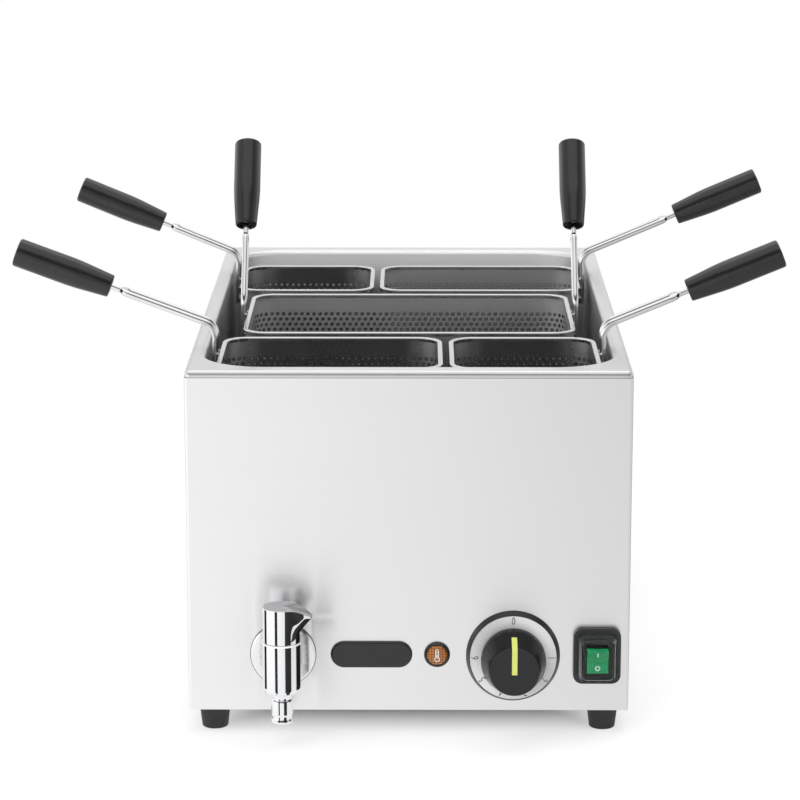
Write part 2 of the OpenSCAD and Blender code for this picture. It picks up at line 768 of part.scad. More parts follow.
// Turning plug with an angled passage: from below, out to the side
module tap_plug() {
    color("goldenrod") translate([tap_x, tap_y, 0]) difference() {
        union() {
            translate([0, 0, plug_foot_z]) cylinder(d = plug_d, h = tap_top_z - plug_foot_z);
            translate([0, 0, tap_top_z - 1]) cylinder(d = stem_d, h = stem_l + running_gap + 1);
        }
        translate([0, 0, plug_foot_z - 1]) cylinder(d = nozzle_bore, h = control_z - plug_foot_z + 1);
        translate([0, 0, control_z]) rotate([0, -90, 0]) cylinder(d = pipe_bore - 4, h = plug_d);
    }
}

// Controls

module pill(l, h) {
    square([l - h, h], center = true);
    for (x = [-1, 1]) translate([x * (l - h) / 2, 0]) circle(d = h);
}

module badge_plate() {
    color("black") on_front(badge_x, control_z) translate([0, 0, fit]) hull() {
        linear_extrude(badge_t / 2) pill(badge_l, badge_h, $fn = 32);
        linear_extrude(badge_t) pill(badge_l - 2, badge_h - 2, $fn = 32);
    }
}

// Lamp holder: bezel with a seat for the lens, and the body behind the panel
module pilot_lamp() {
    r = lamp_d / 2;
    seat_r = lens_d / 2 + fit;
    color("black") on_front(lamp_x, control_z) rotate_extrude() polygon([
        [0, -lamp_body_l], [lamp_body_d / 2, -lamp_body_l], [lamp_body_d / 2, fit], [r, fit],
        [r, lamp_bezel_t / 2], [seat_r + 0.6, lamp_bezel_t], [seat_r, lamp_bezel_t], [seat_r, 1], [0, 1]
    ]);
}

module lamp_lens() {
    r = lens_d / 2;
    color("orange") on_front(lamp_x, control_z) rotate_extrude() polygon([
        [0, 1 + fit], [r, 1 + fit], [r, lamp_bezel_t], [r - 1, lamp_bezel_t + 0.9],
        [r / 2, lamp_bezel_t + 1.5], [0, lamp_bezel_t + 1.7]
    ]);
}

module dial_ring() {
    r = dial_d / 2;
    top_r = r - dial_rim;
    color("black") on_front(dial_x, dial_z) rotate_extrude() polygon([
        [top_r - 5, fit], [r, fit], [top_r, dial_t], [top_r - 0.4, dial_t],
        [top_r - 0.4, dial_t - 1], [top_r - 5, dial_t - 1]
    ]);
}

module dial_scale() {
    r = dial_d / 2 - dial_rim - 0.4 - fit;
    color("silver") on_front(dial_x, dial_z) translate([0, 0, dial_t - 1]) linear_extrude(0.9) difference() {
        circle(r = r);
        circle(d = bush_d + 4);
    }
}

// Pointer bar from the middle of the face down the slope of the knob, let in by depth and
// standing out by proud
module pointer_bar(w, depth, proud) {
    slope = [knob_d / 2 - knob_edge_d / 2, knob_edge - skirt_top];
    out = unit([slope[1], slope[0]]);
    foot = [knob_d / 2, skirt_top] + 0.43 * [-slope[0], slope[1]];
    edge = [knob_edge_d / 2, knob_edge];
    rim = [knob_face_d / 2, knob_top];
    rotate([90, 0, 90]) linear_extrude(w, center = true) polygon([
        foot + proud * out, edge + proud * out, rim + [0, proud], [-pointer_w / 2, knob_top + proud],
        [-pointer_w / 2, knob_top - depth], rim - [depth / 2, depth], edge - depth * out, foot - depth * out
    ]);
}

module knob() {
    bore_r = shaft_d / 2 + bearing_gap;
    color("black") on_front(dial_x, dial_z) difference() {
        rotate_extrude() polygon([
            [bore_r, knob_base], [knob_d / 2 - 0.8, knob_base], [knob_d / 2, knob_base + 3],
            [knob_d / 2, skirt_top], [knob_edge_d / 2, knob_edge], [knob_face_d / 2, knob_top],
            [0, knob_top], [0, shaft_tip], [bore_r, shaft_tip]
        ]);
        pointer_bar(pointer_w, 1, 5);
    }
}

module knob_pointer() {
    color("yellowgreen") on_front(dial_x, dial_z) pointer_bar(pointer_w - 2 * fit, 1 - fit, 0.3);
}

module thermostat_shaft() {
    color("silver") on_front(dial_x, dial_z) translate([0, 0, -thermostat_t + 10])
        cylinder(d = shaft_d, h = thermostat_t - 10 + shaft_tip - fit);
}

module thermostat_body() {
    color("ivory") on_front(dial_x, dial_z) difference() {
        union() {
            translate([0, 0, panel_back - thermostat_t]) linear_extrude(thermostat_t)
                square(thermostat_w, center = true);
            translate([0, 0, panel_back - 1]) cylinder(d = bush_d, h = 1 + sheet + bush_l);
        }
        translate([0, 0, -thermostat_t + 9]) cylinder(d = shaft_d + 2 * bearing_gap, h = 2 * thermostat_t);
    }
}

// Switch housing: flange, collar with the rocker's bearings, and the body behind the panel
module switch_housing() {
    slot_w = rocker_w + 2 * rocker_gap;
    slot_h = rocker_h + 2 * rocker_gap + 2;
    slot_z = -switch_t;
    color("black") on_front(switch_x, control_z) difference() {
        union() {
            translate([0, 0, fit]) linear_extrude(switch_t - fit) round_rect(switch_w, switch_h, 7);
            translate([0, 0, -switch_body_t]) linear_extrude(switch_body_t + 1)
                square([switch_body_w, switch_body_h], center = true);
            translate([0, 0, switch_t - 1]) linear_extrude(collar_top - switch_t + 1)
                square([slot_w + 2 * collar_t, slot_h + 2 * collar_t], center = true);
        }
        translate([0, 0, slot_z]) linear_extrude(2 * collar_top) square([slot_w, slot_h], center = true);
        translate([0, 0, rocker_pivot]) rotate([0, 90, 0])
            cylinder(d = trunnion_d + 2 * bearing_gap, h = switch_w, center = true);
    }
}

// Clear splash dome pressed into the flange
module dome_form(inset) {
    base_w = switch_w - 5;
    base_h = switch_h - 6;
    hull() {
        translate([0, 0, switch_t + fit]) linear_extrude(1)
            round_rect(base_w - 2 * inset, base_h - 2 * inset, 5);
        translate([0, 0, dome_out - 1 - inset]) linear_extrude(1)
            round_rect(dome_w - 2 * inset, dome_h - 2 * inset, 3);
    }
}

module switch_dome() {
    wall = 1;
    color("seagreen", 0.5) on_front(switch_x, control_z) difference() {
        dome_form(0, $fn = 24);
        translate([0, 0, -0.01]) dome_form(wall, $fn = 24);
    }
}

// Rocker on two trunnions, tilted so that its upper half stands out
module rocker() {
    h = rocker_h / 2;
    face = 15.5 - rocker_pivot;
    color("green") on_front(switch_x, control_z) translate([0, 0, rocker_pivot]) rotate([rocker_tilt, 0, 0]) {
        rotate([90, 0, 90]) linear_extrude(rocker_w, center = true) polygon([
            [-h, face], [-h / 2, face - 1.2], [0, face - 1.6], [h / 2, face - 1.2], [h, face],
            [h - 2, 0], [2, -4], [-2, -4], [-h + 2, 0]
        ]);
        rotate([0, 90, 0])
            cylinder(d = trunnion_d, h = rocker_w + 2 * rocker_gap + 2 * collar_t - 0.4, center = true);
    }
}

// Supply

module terminal_block() {
    color("ivory") translate([gland_x, back_y - 62, base_top]) difference() {
        translate([-24, -11, 0]) cube([48, 22, 20]);
        for (i = [-1 : 1]) translate([i * 14, 0, 8]) {
            rotate([90, 0, 0]) cylinder(d = 6, h = 40, center = true);
            cylinder(d = 5, h = 20);
        }
    }
}

module cable_gland() {
    hex_d = gland_af / cos(30);
    hex_t = 6;
    tail = 12;
    color("dimgray") on_rear(gland_x, gland_z) difference() {
        union() {
            translate([0, 0, fit]) cylinder(d = hex_d, h = hex_t, $fn = 6);
            translate([0, 0, -tail]) cylinder(d = gland_thread_d, h = tail + 2);
            translate([0, 0, hex_t - 1]) rotate_extrude() polygon([
                [0, 0], [gland_af / 2 - 0.5, 0], [gland_af / 2 - 0.5, gland_l - hex_t - 5],
                [gland_bore / 2 + 2, gland_l - hex_t + 1], [0, gland_l - hex_t + 1]
            ]);
        }
        cylinder(d = gland_bore, h = 4 * gland_l, center = true);
    }
}

module gland_nut() {
    color("dimgray") on_rear(gland_x, gland_z) translate([0, 0, -sheet - fit - 5]) difference() {
        cylinder(d = gland_af / cos(30), h = 5, $fn = 6);
        translate([0, 0, -1]) cylinder(d = gland_thread_d + 2 * fit, h = 7);
    }
}

// Baskets, drawn round their own centre line

// Rim: a strip folded over the wall's edge, rounded on top
module basket_rim(w, d) {
    edge = 1;
    color("silver") sweep_round(w, d, basket_r) union() {
        translate([basket_r - rim_w, rim_z - rim_h]) square([rim_w, rim_h - edge]);
        translate([basket_r - rim_w + edge, rim_z - rim_h]) square([rim_w - 2 * edge, rim_h]);
        for (x = [basket_r - rim_w + edge, basket_r - edge]) translate([x, rim_z - edge]) circle(r = edge);
    }
}

// Staggered round holes that fit in a w x h field, centred
module holes(w, h) {
    rows = floor((h - hole_d) / hole_row);
    columns = floor((w - hole_d - hole_pitch / 2) / hole_pitch);
    for (j = [0 : rows], i = [0 : columns])
        translate([
            (i - columns / 2 + (j % 2) / 2 - 0.25) * hole_pitch,
            (j - rows / 2) * hole_row
        ]) circle(d = hole_d, $fn = 24);
}

// One flat side of a basket wall, standing on its lower edge
module wall_side(l, wall_h) {
    field = wall_h - skirt_h - plain_band - hole_d;
    linear_extrude(basket_sheet) difference() {
        translate([-l / 2, 0]) square([l, wall_h]);
        translate([0, skirt_h + hole_d / 2 + field / 2]) holes(l, field);
    }
}

module basket_wall(w, d, stand) {
    ow = w - 2 * wall_in;
    od = d - 2 * wall_in;
    wall_h = rim_z - rim_h - stand;
    color("silver") translate([0, 0, stand]) {
        for (s = [0, 180]) rotate([0, 0, s]) {
            translate([0, -od / 2 + basket_sheet, 0]) rotate([90, 0, 0]) wall_side(ow - 2 * wall_r, wall_h);
            translate([ow / 2 - basket_sheet, 0, 0]) rotate([90, 0, 90]) wall_side(od - 2 * wall_r, wall_h);
            for (c = [0, 1]) rotate([0, 0, 0]) mirror([0, c, 0])
                translate([ow / 2 - wall_r, od / 2 - wall_r, 0]) rotate_extrude(angle = 90)
                    translate([wall_r - basket_sheet, 0]) square([basket_sheet, wall_h]);
        }
    }
}

module basket_bottom(w, d, stand) {
    iw = w - 2 * (wall_in + basket_sheet + fit);
    id = d - 2 * (wall_in + basket_sheet + fit);
    color("silver") translate([0, 0, stand + skirt_h]) linear_extrude(basket_sheet) difference() {
        round_rect(iw, id, wall_r - basket_sheet - fit);
        holes(iw - hole_pitch, id - hole_pitch);
    }
}

module small_wall(w) basket_wall(w, small_basket_d, small_stand);
module small_bottom(w) basket_bottom(w, small_basket_d, small_stand);

// Handle plan: where the bend is and which way the rods run from it. The handle's origin is on
// the rim's outer edge, X points away from the basket.
function slant_dir(tilt) = [cos(tilt), 0, sin(tilt)];
function lean_dir(lean) = [0, sin(lean), cos(lean)];

// Hairpin from the basket's end wall up to its bow, with the tang that the grip sits on
module handle_rods(rise, dir, run) {
    mouth = [leg_out, 0, rise] + run * dir;
    across = [0, 1, 0] - dir[1] * dir;
    bow_r = rod_gap / 2 * norm(across);
    bow = mouth - (neck_l + rod_d / 2 + bow_r) * dir;
    union() {
        for (s = [-1, 1]) {
            leg = [leg_out, s * rod_gap / 2, 0];
            tip = bow + s * rod_gap / 2 * across + bend_lap * dir;
            rod([leg - [0, 0, leg_l], leg + [0, 0, rise], tip], rod_d, bend_r);
            for (z = [-rim_h - rod_d, -leg_l + rod_d]) translate([-wall_in, s * rod_gap / 2, z])
                rotate([0, 90, 0]) cylinder(d = weld_d, h = wall_in + leg_out);
        }
        placed(bow, unit(across), dir) rotate_extrude(angle = 180)
            translate([bow_r, 0]) circle(d = rod_d + 2 * bend_step);
        along(bow + bow_r * dir, dir) cylinder(d = tang_d, h = rod_d / 2 + neck_l + grip_mouth_t + tang_l);
    }
}

// Grip: straight outer part with a rounded end, tapered towards the rods
module handle_grip(rise, dir, run) {
    r = grip_d / 2;
    neck_r = grip_neck_d / 2;
    mouth = [leg_out, 0, rise] + run * dir;
    along(mouth, dir) rotate_extrude() difference() {
        union() {
            polygon([
                [0, 0], [neck_r - 0.8, 0], [neck_r, 0.8], [r - 0.35, grip_taper_l * 0.75], [r, grip_taper_l],
                [r, grip_l - grip_end_r], [r - grip_end_r, grip_l], [0, grip_l + 0.6]
            ]);
            translate([r - grip_end_r, grip_l - grip_end_r]) circle(r = grip_end_r);
        }
        translate([-r, -1]) square([r + grip_mouth_d / 2, grip_mouth_t + 1 + fit]);
        translate([-r, -1]) square([r + tang_d / 2 + bearing_gap, grip_mouth_t + tang_l + 1 + fit]);
        translate([-2 * r, -1]) square([2 * r, grip_l + 4]);
    }
}

// Children on the outer edge of a basket's right end, or of its left end
module at_end(w, side)
    translate([0, 0, rim_z]) mirror([side < 0 ? 1 : 0, 0, 0]) translate([w / 2, 0, 0]) children();

module front_left() translate([-wide_x, front_row_y, 0]) children();
module front_right() translate([narrow_x, front_row_y, 0]) children();
module middle() translate([0, long_row_y, 0]) children();
module back_left() translate([-narrow_x, back_row_y, 0]) children();
module back_right() translate([wide_x, back_row_y, 0]) children();

module wide_rods(side, tilt, run) color("silver") at_end(basket_wide, side)
    handle_rods(bend_rise, slant_dir(tilt), run);
module wide_grip(side, tilt, run) color("black") at_end(basket_wide, side)
    handle_grip(bend_rise, slant_dir(tilt), run);
module narrow_rods(side) color("silver") at_end(basket_narrow, side)
    handle_rods(bend_rise, slant_dir(tilt_narrow), run_narrow);
module narrow_grip(side) color("black") at_end(basket_narrow, side)
    handle_grip(bend_rise, slant_dir(tilt_narrow), run_narrow);
module long_rods() color("silver") for (side = [-1, 1]) at_end(basket_long, side)
    handle_rods(long_rise, lean_dir(long_lean), run_long);
module long_grips() color("black") for (side = [-1, 1]) at_end(basket_long, side)
    handle_grip(long_rise, lean_dir(long_lean), run_long);

front_panel();
side_panels();
rear_panel();
base_plate();
casing_screws();
tank();
feet();
foot_screws();
heating_element();
heater_bars();
heater_studs();
safety_limiter();
drain_pipe();
tap_flange();
tap_body();
tap_nozzle();
tap_handle();
tap_plug();
badge_plate();
pilot_lamp();
lamp_lens();
dial_ring();
dial_scale();
knob();
knob_pointer();
thermostat_shaft();
thermostat_body();
thermostat_bulb();
bulb_clip();
switch_housing();
switch_dome();
rocker();
terminal_block();
cable_gland();
gland_nut();
front_left() basket_rim(basket_wide, small_basket_d);  // front_left_rim
front_left() small_wall(basket_wide);  // front_left_wall
front_left() small_bottom(basket_wide);  // front_left_bottom
front_left() wide_rods(-1, tilt_front, run_front);  // front_left_rods
front_left() wide_grip(-1, tilt_front, run_front);  // front_left_grip
front_right() basket_rim(basket_narrow, small_basket_d);  // front_right_rim
front_right() small_wall(basket_narrow);  // front_right_wall
front_right() small_bottom(basket_narrow);  // front_right_bottom
front_right() narrow_rods(1);  // front_right_rods
front_right() narrow_grip(1);  // front_right_grip
middle() basket_rim(basket_long, long_basket_d);  // middle_rim
middle() basket_wall(basket_long, long_basket_d, long_stand);  // middle_wall
middle() basket_bottom(basket_long, long_basket_d, long_stand);  // middle_bottom
middle() long_rods();  // middle_rods
middle() long_grips();  // middle_grips
back_left() basket_rim(basket_narrow, small_basket_d);  // back_left_rim
back_left() small_wall(basket_narrow);  // back_left_wall
back_left() small_bottom(basket_narrow);  // back_left_bottom
back_left() narrow_rods(-1);  // back_left_rods
back_left() narrow_grip(-1);  // back_left_grip
back_right() basket_rim(basket_wide, small_basket_d);  // back_right_rim
back_right() small_wall(basket_wide);  // back_right_wall
back_right() small_bottom(basket_wide);  // back_right_bottom
back_right() wide_rods(1, tilt_back, run_back);  // back_right_rods
back_right() wide_grip(1, tilt_back, run_back);  // back_right_grip
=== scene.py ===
import json
from math import copysign, cos, exp, pi, radians, sin

import bpy
from mathutils import Matrix, Vector


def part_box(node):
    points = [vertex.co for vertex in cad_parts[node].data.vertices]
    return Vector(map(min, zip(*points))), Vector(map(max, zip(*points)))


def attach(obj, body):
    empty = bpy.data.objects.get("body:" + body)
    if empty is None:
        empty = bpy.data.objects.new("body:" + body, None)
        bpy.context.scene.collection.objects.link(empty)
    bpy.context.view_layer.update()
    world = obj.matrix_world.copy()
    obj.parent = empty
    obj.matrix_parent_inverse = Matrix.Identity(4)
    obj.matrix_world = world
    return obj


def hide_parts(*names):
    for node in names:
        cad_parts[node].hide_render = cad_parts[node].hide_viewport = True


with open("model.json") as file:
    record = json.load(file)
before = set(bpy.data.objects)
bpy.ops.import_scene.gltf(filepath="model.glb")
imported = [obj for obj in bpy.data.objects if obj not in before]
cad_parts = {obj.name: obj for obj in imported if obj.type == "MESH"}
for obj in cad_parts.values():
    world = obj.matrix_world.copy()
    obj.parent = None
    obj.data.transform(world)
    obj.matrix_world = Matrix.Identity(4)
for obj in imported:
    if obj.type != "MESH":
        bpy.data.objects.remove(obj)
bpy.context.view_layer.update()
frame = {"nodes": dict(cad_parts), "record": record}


# Casing: a front tray with bent corners, two side panels, a rear panel and a base plate. All are
# cut from 1 mm ground stainless sheet, folded on a press brake and screwed together.

class Wire:
    """An output of a shader node. Arithmetic on it adds Math nodes."""

    def __init__(self, recipe, socket):
        self.recipe, self.socket = recipe, socket

    def maths(self, operation, first, second=0.0):
        return self.recipe.node("ShaderNodeMath", {"operation": operation}, {0: first, 1: second})

    def __add__(self, other):
        return self.maths("ADD", self, other)

    def __radd__(self, other):
        return self.maths("ADD", other, self)

    def __sub__(self, other):
        return self.maths("SUBTRACT", self, other)

    def __rsub__(self, other):
        return self.maths("SUBTRACT", other, self)

    def __mul__(self, other):
        return self.maths("MULTIPLY", self, other)

    def __rmul__(self, other):
        return self.maths("MULTIPLY", other, self)

    def __truediv__(self, other):
        return self.maths("DIVIDE", self, other)

    def __pow__(self, other):
        return self.maths("POWER", self, other)

    def __gt__(self, other):
        return self.maths("GREATER_THAN", self, other)

    def __lt__(self, other):
        return self.maths("LESS_THAN", self, other)

    def __abs__(self):
        return self.maths("ABSOLUTE", self)


class Recipe:
    """The nodes of one finish, or of the studio's surroundings, added one call at a time."""

    def __init__(self, owner):
        owner.use_nodes = True
        self.owner, self.tree = owner, owner.node_tree
        self.tree.nodes.clear()

    def node(self, kind, settings=None, sockets=None, out=0):
        made = self.tree.nodes.new(kind)
        for key, value in (settings or {}).items():
            setattr(made, key, value)
        for key, value in (sockets or {}).items():
            if isinstance(value, Wire):
                self.tree.links.new(value.socket, made.inputs[key])
            else:
                made.inputs[key].default_value = value
        return Wire(self, made.outputs[out]) if made.outputs else None

    def place(self):
        return self.node("ShaderNodeTexCoord", out="Object")

    def facing(self):
        return self.node("ShaderNodeTexCoord", out="Normal")

    def axis(self, vector, number):
        """One coordinate of a vector: 0 is X, 1 is Y and 2 is Z."""
        return self.node("ShaderNodeSeparateXYZ", {}, {0: vector}, number)

    def grain(self, scale, stretch=(1, 1, 1), detail=2.0):
        """Noise over the piece, drawn out along the axes with a small stretch."""
        laid = self.node("ShaderNodeMapping", {}, {"Vector": self.place(), "Scale": stretch})
        return self.node("ShaderNodeTexNoise", {}, {
            "Vector": laid, "Scale": scale, "Detail": detail})

    def mix(self, share, low, high):
        """A colour between two, by a share from 0 to 1."""
        return self.node("ShaderNodeMix", {"data_type": "RGBA"}, {0: share, 6: low, 7: high}, 2)

    def tint(self, share, low, high):
        return self.mix(share, (*low, 1), (*high, 1))

    def cover(self, sockets, relief=None, depth=0.0):
        """The finished surface, with an optional relief of the given depth in metres."""
        if relief is not None:
            sockets["Normal"] = self.node("ShaderNodeBump", {}, {
                "Distance": depth, "Height": relief})
        shader = self.node("ShaderNodeBsdfPrincipled", {}, sockets)
        self.node("ShaderNodeOutputMaterial", {}, {0: shader})
        return self.owner


def recipe(name):
    """A recipe for a new material."""
    return Recipe(bpy.data.materials.new(name))


def ground_lines(steel, fineness):
    """Lines left by the grinding belt: along X, and along Y on walls that face sideways."""
    run, detail = 5, 3.0
    sideways = abs(steel.axis(steel.facing(), 0)) > 0.7
    level = steel.grain(1.0, (run, fineness, fineness), detail)
    return level + (steel.grain(1.0, (fineness, run, fineness), detail) - level) * sideways


def only(piece=None):
    """Leaves nothing selected but one piece."""
    bpy.ops.object.select_all(action="DESELECT")
    if piece:
        piece.select_set(True)
        bpy.context.view_layer.objects.active = piece


def settle(piece, material, body, slot, *stands_for):
    """Gives a finished piece its material and its place in the assembly."""
    piece.data.materials.clear()
    piece.data.materials.append(material)
    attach(piece, body)
    if stands_for:
        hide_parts(*stands_for)
    return piece


def change(piece, kind, **settings):
    """Adds a modifier with its settings and applies it."""
    only(piece)
    added = piece.modifiers.new(kind.lower(), kind)
    for key, value in settings.items():
        setattr(added, key, value)
    bpy.ops.object.modifier_apply(modifier=added.name)


body_of = {node: body for body, nodes in frame["record"]["behaviour"]["bodies"].items()
           for node in nodes}
slot_of = {part["node"]: part["material_slot"] for part in frame["record"]["subparts"]}


def eased(node, material, edge=0.0003, steps=2, crease=32):
    """A copy of a CAD piece with its edges taken off by a small round."""
    same_point, same_plane, sharp = 1e-6, radians(0.4), radians(28)
    piece = bpy.data.objects.new(node + "_eased", frame["nodes"][node].data.copy())
    bpy.context.scene.collection.objects.link(piece)
    only(piece)
    bpy.ops.mesh.customdata_custom_splitnormals_clear()
    bpy.ops.object.mode_set(mode="EDIT")
    bpy.ops.mesh.select_all(action="SELECT")
    bpy.ops.mesh.remove_doubles(threshold=same_point)
    bpy.ops.mesh.dissolve_limited(angle_limit=same_plane)
    bpy.ops.object.mode_set(mode="OBJECT")
    if edge:
        change(piece, "BEVEL", width=edge, segments=steps, limit_method="ANGLE", angle_limit=sharp)
    bpy.ops.object.shade_smooth_by_angle(angle=radians(crease))
    change(piece, "WEIGHTED_NORMAL", keep_sharp=True)
    return settle(piece, material, body_of[node], slot_of[node], node)


ground = recipe("ground_stainless")
lines = ground_lines(ground, 900)
clouds = ground.grain(3.0)
casing_steel = ground.cover({
    "Base Color": ground.tint(
        lines * 0.5 + clouds * 0.5, (0.88, 0.88, 0.882), (0.95, 0.95, 0.952)),
    "Metallic": 1.0, "Roughness": lines * 0.14 + 0.25,
    "Anisotropic": 0.55, "Anisotropic Rotation": 0.25,
}, relief=lines, depth=0.000012)
for node in ("front_panel", "side_panels", "rear_panel"):
    eased(node, casing_steel)
eased("base_plate", casing_steel, edge=0)


# Screws and feet: zinc-plated pan-head screws hold the casing, and four tapered rubber feet sit
# on countersunk screws under its corners.
metal = {"Metallic": 1.0}


def mottled(name, scale, tones, roughness, others=None, relief=0.0, stretch=(1, 1, 1), detail=2.0):
    """A finish that varies in patches between two tones, with its roughness in step."""
    finish = recipe(name)
    patches = finish.grain(scale, stretch, detail)
    smooth, rough = roughness
    return finish.cover({
        "Base Color": finish.tint(patches, *tones),
        "Roughness": patches * (rough - smooth) + smooth, **(others or {}),
    }, patches if relief else None, relief)


zinc = mottled("zinc_plate", 220.0, ((0.50, 0.51, 0.53), (0.66, 0.67, 0.68)), (0.22, 0.42), metal)
eased("casing_screws", zinc, edge=0.0002)
eased("foot_screws", zinc)
rubber = mottled("foot_rubber", 160.0, ((0.012, 0.012, 0.013), (0.030, 0.030, 0.031)),
                 (0.52, 0.72), relief=0.00003)
eased("feet", rubber, edge=0.0011, steps=3)


# Tank: the deck with its bent border and rolled lip, and the deep vessel welded under it. The deck
# is ground and brushed, the inside is left satin, and its ends are scoured dull above the water.
def ramp(value, start, end, low=0.0, high=1.0):
    """A smooth rise from one level to another."""
    return value.recipe.node("ShaderNodeMapRange", {"interpolation_type": "SMOOTHSTEP"}, {
        "Value": value, "From Min": start, "From Max": end, "To Min": low, "To Max": high})


satin = recipe("tank_satin")
lines = ground_lines(satin, 700)
clouds = satin.grain(9.0)
tank_low, tank_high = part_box("tank")
tank_at = (tank_low + tank_high) / 2
border_t, water_line = 0.006, tank_high.z - 0.030
endways = ramp(abs(satin.axis(satin.facing(), 1)), 0.50, 0.95)
inside = abs(satin.axis(satin.place(), 1) - tank_at.y) < tank_high.y - tank_at.y - border_t
dry = ramp(satin.axis(satin.place(), 2), water_line - 0.012, water_line + 0.020)
scoured = endways * inside * dry
tank_steel = satin.cover({
    "Base Color": satin.tint(
        lines * 0.35 + clouds * 0.65, (0.72, 0.722, 0.725), (0.82, 0.822, 0.825)),
    "Metallic": 1 - scoured * 0.6, "Roughness": lines * 0.06 + scoured * 0.16 + 0.34,
    "Anisotropic": 0.3, "Anisotropic Rotation": 0.25,
}, relief=lines, depth=0.000003)
eased("tank", tank_steel, edge=0, crease=40)


# Heater and its controls under the tank: a bent tubular element under clamp bars on studs, the
# cut-out, the thermostat with its copper bulb in a clip, and the terminals of the supply.
sheath = mottled("element_sheath", 140.0, ((0.10, 0.095, 0.09), (0.26, 0.24, 0.22)), (0.35, 0.65),
                 {"Metallic": 0.9}, detail=4.0)
eased("heating_element", sheath, edge=0)
bracket_steel = mottled("bracket_strip", 1.0, ((0.45, 0.45, 0.46), (0.60, 0.60, 0.61)),
                        (0.32, 0.47), metal, stretch=(40, 400, 40))
for node in ("heater_bars", "bulb_clip", "thermostat_shaft"):
    eased(node, bracket_steel, edge=0.0002)
eased("heater_studs", zinc, edge=0.0002)
phenolic = mottled("moulded_phenolic", 90.0, ((0.46, 0.41, 0.32), (0.56, 0.51, 0.42)), (0.4, 0.6),
                   detail=4.0)
for node in ("safety_limiter", "thermostat_body", "terminal_block"):
    eased(node, phenolic, edge=0.0004)
copper = mottled("drawn_copper", 60.0, ((0.45, 0.18, 0.09), (0.72, 0.36, 0.22)), (0.2, 0.5), metal,
                 detail=4.0)
eased("thermostat_bulb", copper, edge=0)


# Drain: a steel elbow from the tank floor, and the chromed tap on the panel with its flange, body,
# ringed hose nozzle, white slip washer, thin rubber gasket and a brass plug that the handle turns.
tube_steel = mottled("drawn_tube", 300.0, ((0.52, 0.52, 0.53), (0.66, 0.66, 0.67)), (0.3, 0.4),
                     metal)
eased("drain_pipe", tube_steel, edge=0.0002)
brass = mottled("turned_brass", 1.0, ((0.58, 0.40, 0.15), (0.78, 0.58, 0.27)), (0.2, 0.35), metal,
                stretch=(90, 90, 1400))
eased("tap_plug", brass)
chrome = mottled("bright_chrome", 45.0, ((0.84, 0.85, 0.87), (0.93, 0.935, 0.94)), (0.025, 0.060),
                 metal, detail=3.0)
satin_chrome = mottled("satin_chrome", 55.0, ((0.82, 0.822, 0.825), (0.90, 0.902, 0.905)),
                       (0.17, 0.25), metal, detail=3.0)
eased("tap_flange", satin_chrome, edge=0.0006, steps=3)
eased("tap_body", chrome, edge=0.0006, steps=3)
eased("tap_nozzle", chrome, edge=0.0005, steps=3)


def ring(name, radius, thickness, flatness, place=(0, 0, 0), turn=(0, 0, 0), steps=(96, 12)):
    """A round ring, pressed flatter along its axis."""
    only()
    bpy.ops.mesh.primitive_torus_add(major_radius=radius, minor_radius=thickness / 2,
                                     major_segments=steps[0], minor_segments=steps[1])
    made = bpy.context.object
    made.name = name
    bpy.ops.object.mode_set(mode="EDIT")
    bpy.ops.mesh.select_all(action="SELECT")
    bpy.ops.transform.resize(value=(1, 1, flatness), center_override=(0, 0, 0))
    bpy.ops.object.mode_set(mode="OBJECT")
    made.location, made.rotation_euler = place, turn
    bpy.ops.object.transform_apply()
    return made


facing_out = (pi / 2, 0, 0)
panel_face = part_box("front_panel")[0].y
tap_low, tap_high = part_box("tap_body")
tap_at = (tap_low + tap_high) / 2
washer_r, washer_t, washer_flat, washer_sunk = 0.0144, 0.0016, 0.875, 0.0006
washer = ring("tap_washer", washer_r, washer_t, washer_flat,
              (tap_at.x, tap_at.y, tap_high.z - washer_sunk))
bpy.ops.object.shade_smooth()
slip_nylon = mottled("slip_nylon", 150.0, ((0.84, 0.84, 0.835), (0.93, 0.93, 0.925)), (0.3, 0.4))
settle(washer, slip_nylon, "cooker", "tap_chrome")
flange_low, flange_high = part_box("tap_flange")
flange_at = (flange_low + flange_high) / 2
gasket_t, gasket_flat = 0.0010, 0.8
gasket = ring("tap_gasket", (flange_high.x - flange_low.x) / 2, gasket_t, gasket_flat,
              (flange_at.x, panel_face - gasket_t * gasket_flat / 2, flange_at.z),
              facing_out, (96, 8))
bpy.ops.object.shade_smooth()
settle(gasket, rubber, "cooker", slot_of["feet"])


# Tap handle: a die-cast cap with a beak for the thumb, chromed like the body. It sits on the
# plug's stem, and its beak runs out to one side and droops.
cap_low, cap_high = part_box("tap_handle")
cap_r, cap_h, cap_round = 0.0143, cap_high.z - cap_low.z, 0.0007
cap_levels, cap_circles = 24, (0.93, 0.75, 0.6, 0.55, 0.5, 0.4)
beak_l, beak_h, beak_droop = 0.0245, 0.0200, 0.0065
beak_turn, beak_spread, beak_slant = radians(-10), 0.44, 0.80
only()
bpy.ops.mesh.primitive_circle_add(vertices=96, radius=cap_r, fill_type="NGON")
cap = bpy.context.object
cap.name = "tap_handle_cap"
bpy.ops.object.mode_set(mode="EDIT")
bpy.ops.mesh.select_all(action="SELECT")
for level in range(cap_levels):
    bpy.ops.mesh.extrude_edges_move(TRANSFORM_OT_translate={"value": (0, 0, cap_h / cap_levels)})
for shrink in cap_circles:
    bpy.ops.mesh.extrude_edges_move()
    bpy.ops.transform.resize(value=(shrink, shrink, 1), center_override=(0, 0, cap_h))
bpy.ops.mesh.merge(type="CENTER")
bpy.ops.mesh.select_all(action="SELECT")
bpy.ops.mesh.normals_make_consistent(inside=False)
bpy.ops.object.mode_set(mode="OBJECT")
beak_heading = Vector((cos(beak_turn), sin(beak_turn)))
